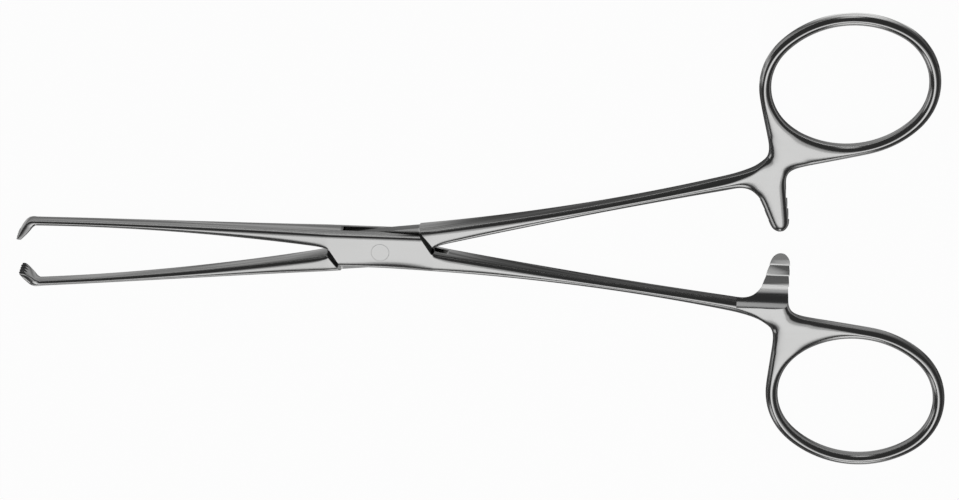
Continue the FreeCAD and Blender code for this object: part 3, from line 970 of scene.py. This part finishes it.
class FORCEPS_OT_finish_pin(bpy.types.Operator):
    """Give the pivot pin its polished steel"""

    bl_idname = "forceps.finish_pin"
    bl_label = "Finish the pin"

    def execute(self, context):
        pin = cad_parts["pivot_pin"]
        set_material(pin, polished_steel("steel_pivot_pin", 0.0))
        return {"FINISHED"}


def floor_material(stage):
    """Pale and matt. The camera sees plain white added, and metal a glow that varies from place to place."""
    material = bpy.data.materials.new("floor_white")
    nodes = Nodes(material)
    camera_ray = nodes.add("ShaderNodeLightPath", output="Is Camera Ray")
    glossy_ray = nodes.add("ShaderNodeLightPath", output="Is Glossy Ray")
    clear_ray = nodes.add("ShaderNodeLightPath", output="Is Transmission Ray")
    seen = camera_ray.larger(clear_ray)
    x, y = nodes.split(nodes.place(), 2)
    jaws = 1.0 - x.step(*LOCK_FADE)
    rings = x.step(*RING_FADE_IN) * (1.0 - x.step(*RING_FADE_OUT))
    tops = rings * y.step(*RING_TOP_FADE)
    streaks = nodes.noise(nodes.place(scale=(25.0, 700.0, 1.0)), 1.0, detail=2.0)
    corner = (1.0 - x.step(*RING_LEFT_FADE)) * y.step(*RING_CORNER_FADE) * stage.mirrored_jaws
    even = jaws * stage.mirrored_jaws + rings * stage.mirrored_rings + tops * stage.mirrored_tops + corner
    mirrored = (even + stage.mirrored_shanks) * (streaks.step(0.35, 0.65) + 0.5)
    matt = nodes.add("ShaderNodeBsdfPrincipled", {}, {
        "Base Color": (*stage.floor_colour, 1.0), "Roughness": 0.9, "Specular IOR Level": 0.0})
    glow = nodes.add("ShaderNodeEmission", {}, {"Color": seen + glossy_ray * mirrored, "Strength": 1.0})
    share = seen.larger(glossy_ray) * stage.floor_glow
    mixed = nodes.add("ShaderNodeMixShader", {}, {0: share, 1: matt, 2: glow})
    nodes.add("ShaderNodeOutputMaterial", {}, {"Surface": mixed})
    return material


def area_lamp(name, place, aim, size, power):
    """A rectangular soft lamp."""
    lamp = bpy.data.lights.new(name, "AREA")
    lamp.shape = "RECTANGLE"
    lamp.size, lamp.size_y = size
    lamp.energy = power
    obj = bpy.data.objects.new(name, lamp)
    obj.location = place
    obj.rotation_mode = "QUATERNION"
    obj.rotation_quaternion = (Vector(aim) - Vector(place)).to_track_quat("-Z", "Y")
    bpy.context.scene.collection.objects.link(obj)


def soft_card(name, place, aim, size, level, core):
    """A glowing card, brightest inside core, a share of its half size.

    It is clear to the camera and from behind.
    """
    material = bpy.data.materials.new(name)
    nodes = Nodes(material)
    fades = [1.0 - way.size().step(start, 1.0) for way, start in zip(nodes.split(nodes.place(), 2), core)]
    behind = nodes.add("ShaderNodeNewGeometry", output="Backfacing")
    camera_ray = nodes.add("ShaderNodeLightPath", output="Is Camera Ray")
    glow = nodes.add("ShaderNodeEmission", {}, {"Color": fades[0] * fades[1] * level, "Strength": 1.0})
    clear = nodes.add("ShaderNodeBsdfTransparent")
    mixed = nodes.add("ShaderNodeMixShader", {}, {0: behind.larger(camera_ray), 1: glow, 2: clear})
    nodes.add("ShaderNodeOutputMaterial", {}, {"Surface": mixed})
    bm = bmesh.new()
    bmesh.ops.create_grid(bm, x_segments=1, y_segments=1, size=1.0)
    card = mesh_object(name, bm)
    card.scale = (size[0] / 2.0, size[1] / 2.0, 1.0)
    card.location = place
    card.rotation_mode = "QUATERNION"
    card.rotation_quaternion = (Vector(aim) - Vector(place)).to_track_quat("Z", "Y")
    card.data.materials.append(material)


class FORCEPS_OT_build_stage(bpy.types.Operator):
    """Make the floor, the lamps, the surround and the camera"""

    bl_idname = "forceps.build_stage"
    bl_label = "Build the stage"

    def execute(self, context):
        stage = context.scene.forceps_stage
        self.make_floor(stage)
        self.make_lamps(stage)
        self.make_surround(context, stage)
        self.make_camera(context, stage)
        return {"FINISHED"}

    def make_floor(self, stage):
        bm = bmesh.new()
        bmesh.ops.create_grid(bm, x_segments=1, y_segments=1, size=FLOOR_HALF)
        floor = mesh_object("floor", bm)
        floor.data.materials.append(floor_material(stage))

    def make_lamps(self, stage):
        x = stage.target[0]
        left, right = x - LAMP_LEFT, x + SAIL_RIGHT
        area_lamp("lamp_overhead", (left, -0.30, 0.85), stage.target, (1.1, 0.5), stage.overhead_power)
        soft_card("sail_overhead", (right, -0.35, 0.95), (right, -0.35, 0.0), (2.4, 1.4),
                  stage.overhead_level, (0.25, 0.6))
        soft_card("card_back", (x, CARD_REACH, 0.45), (x, 0.0, 0.45), (0.7, 0.9),
                  stage.back_level, (0.2, 0.6))
        soft_card("card_front", (x, -CARD_REACH, 0.44), (x, 0.0, 0.44), (0.8, 0.9),
                  stage.front_level, (0.3, 0.7))
        soft_card("card_corner", (-1.15, -1.1, 0.5), (0.0, 0.0, 0.5), (0.7, 0.9),
                  stage.side_level, (0.3, 0.6))
        soft_card("card_left", (-CARD_REACH, 0.0, 0.4), (0.0, 0.0, 0.4), (1.1, 0.8),
                  stage.side_level, (0.4, 0.6))

    def make_surround(self, context, stage):
        world = bpy.data.worlds.new("surround")
        context.scene.world = world
        nodes = Nodes(world)
        camera_ray = nodes.add("ShaderNodeLightPath", output="Is Camera Ray")
        dim = nodes.add("ShaderNodeBackground", {}, {"Color": WHITE, "Strength": stage.surround})
        white = nodes.add("ShaderNodeBackground", {}, {"Color": WHITE, "Strength": 1.0})
        mixed = nodes.add("ShaderNodeMixShader", {}, {0: camera_ray, 1: dim, 2: white})
        nodes.add("ShaderNodeOutputWorld", {}, {"Surface": mixed})

    def make_camera(self, context, stage):
        back = Vector((math.sin(stage.yaw), math.sin(stage.tilt) * math.cos(stage.yaw),
                       math.cos(stage.tilt) * math.cos(stage.yaw))).normalized()
        along = Vector((1.0, 0.0, 0.0))
        right = (along - back * along.dot(back)).normalized()
        turn = Matrix.Rotation(-stage.roll, 3, back)
        right = turn @ right
        up = back.cross(right)
        camera = bpy.data.cameras.new("camera")
        camera.sensor_width = 36.0
        camera.lens = camera.sensor_width * stage.focal
        camera.clip_start = 0.05
        camera.clip_end = 20.0
        obj = bpy.data.objects.new("camera", camera)
        place = Vector(stage.target) + back * stage.distance
        turned = Matrix((right, up, back)).transposed().to_4x4()
        obj.matrix_world = Matrix.Translation(place) @ turned
        context.scene.collection.objects.link(obj)
        context.scene.camera = obj
        context.scene.view_settings.view_transform = "Standard"


class FORCEPS_PT_panel(bpy.types.Panel):
    """Buttons for each piece and for the stage"""

    bl_idname = "FORCEPS_PT_panel"
    bl_label = "Forceps"
    bl_space_type = "VIEW_3D"
    bl_region_type = "UI"
    bl_category = "Forceps"

    def draw(self, context):
        layout = self.layout
        for group in (context.scene.forceps_finish, context.scene.forceps_stage):
            box = layout.box()
            for name in group.bl_rna.properties.keys():
                if name not in ("rna_type", "name"):
                    box.prop(group, name)
        for name in STEPS:
            layout.operator("forceps." + name)


STEPS = ("finish_halves", "finish_pin", "build_stage")
CLASSES = (
    FinishSettings, StageSettings, FORCEPS_OT_finish_halves, FORCEPS_OT_finish_pin,
    FORCEPS_OT_build_stage, FORCEPS_PT_panel)


def register():
    for item in CLASSES:
        bpy.utils.register_class(item)
    bpy.types.Scene.forceps_finish = bpy.props.PointerProperty(type=FinishSettings)
    bpy.types.Scene.forceps_stage = bpy.props.PointerProperty(type=StageSettings)


def unregister():
    del bpy.types.Scene.forceps_stage
    del bpy.types.Scene.forceps_finish
    for item in reversed(CLASSES):
        bpy.utils.unregister_class(item)


def main():
    register()
    for name in STEPS:
        getattr(bpy.ops.forceps, name)()


if __name__ == "__main__":
    main()
